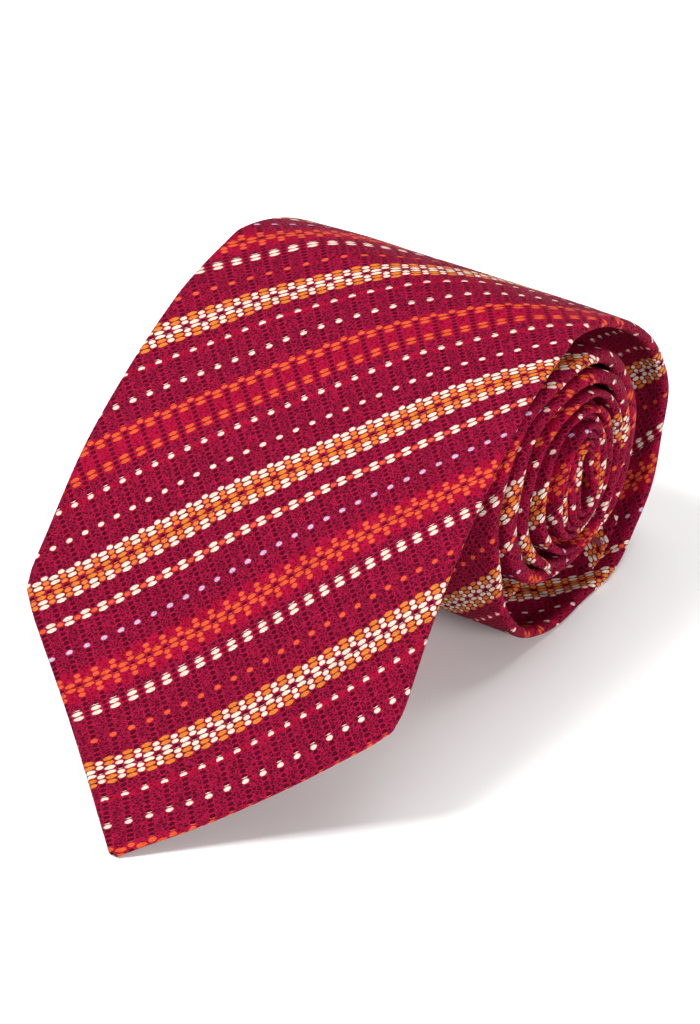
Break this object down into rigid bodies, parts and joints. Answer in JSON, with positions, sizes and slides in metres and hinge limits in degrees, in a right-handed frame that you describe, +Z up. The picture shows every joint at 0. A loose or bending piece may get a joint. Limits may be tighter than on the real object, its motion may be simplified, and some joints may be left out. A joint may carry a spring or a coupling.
{
  "type": "necktie",
  "caption": "Striped woven-silk necktie, folded and rolled up, with its pointed wide end draped over the top of the roll down to the surface.",
  "frame": {"origin": "on the surface that the tie lies on, under the middle of its box", "axes": "+X along the roll's axis towards the end where the turns show, +Y from the hanging point towards the back of the roll, +Z up"},
  "size_m": [0.0892, 0.1536, 0.0643],
  "materials": {
    "silk_cloth": "woven silk with raised stripes, soft sheen",
    "wool_interlining": "brushed wool, matte",
    "tipping_lining": "smooth twill, satin",
    "sewing_thread": "twisted thread, satin",
    "woven_label": "woven tape, matte"
  },
  "bodies": {
    "roll": {"front_blade_outer_turn": "silk_cloth", "front_blade_inner_turns": "silk_cloth", "neck": "silk_cloth", "tail_blade": "silk_cloth", "interlining_blade": "wool_interlining", "interlining_tail": "wool_interlining", "tail_tipping": "tipping_lining", "slip_stitch_rolled": "sewing_thread", "tail_bar_tack": "sewing_thread", "keeper_loop": "silk_cloth", "keeper_tack_left": "sewing_thread", "keeper_tack_right": "sewing_thread"},
    "hanging_blade": {"front_blade": "silk_cloth", "interlining_hanging": "wool_interlining", "blade_tipping": "tipping_lining", "slip_stitch_hanging": "sewing_thread", "blade_bar_tack": "sewing_thread", "maker_label": "woven_label", "care_label": "woven_label"}
  },
  "joints": [
    {"name": "blade_lift", "type": "hinge", "parent": "roll", "child": "hanging_blade", "pos_m": [0, 0.03667, 0.06432], "axis": [-1, 0, 0], "range_deg": [0, 75]}
  ]
}
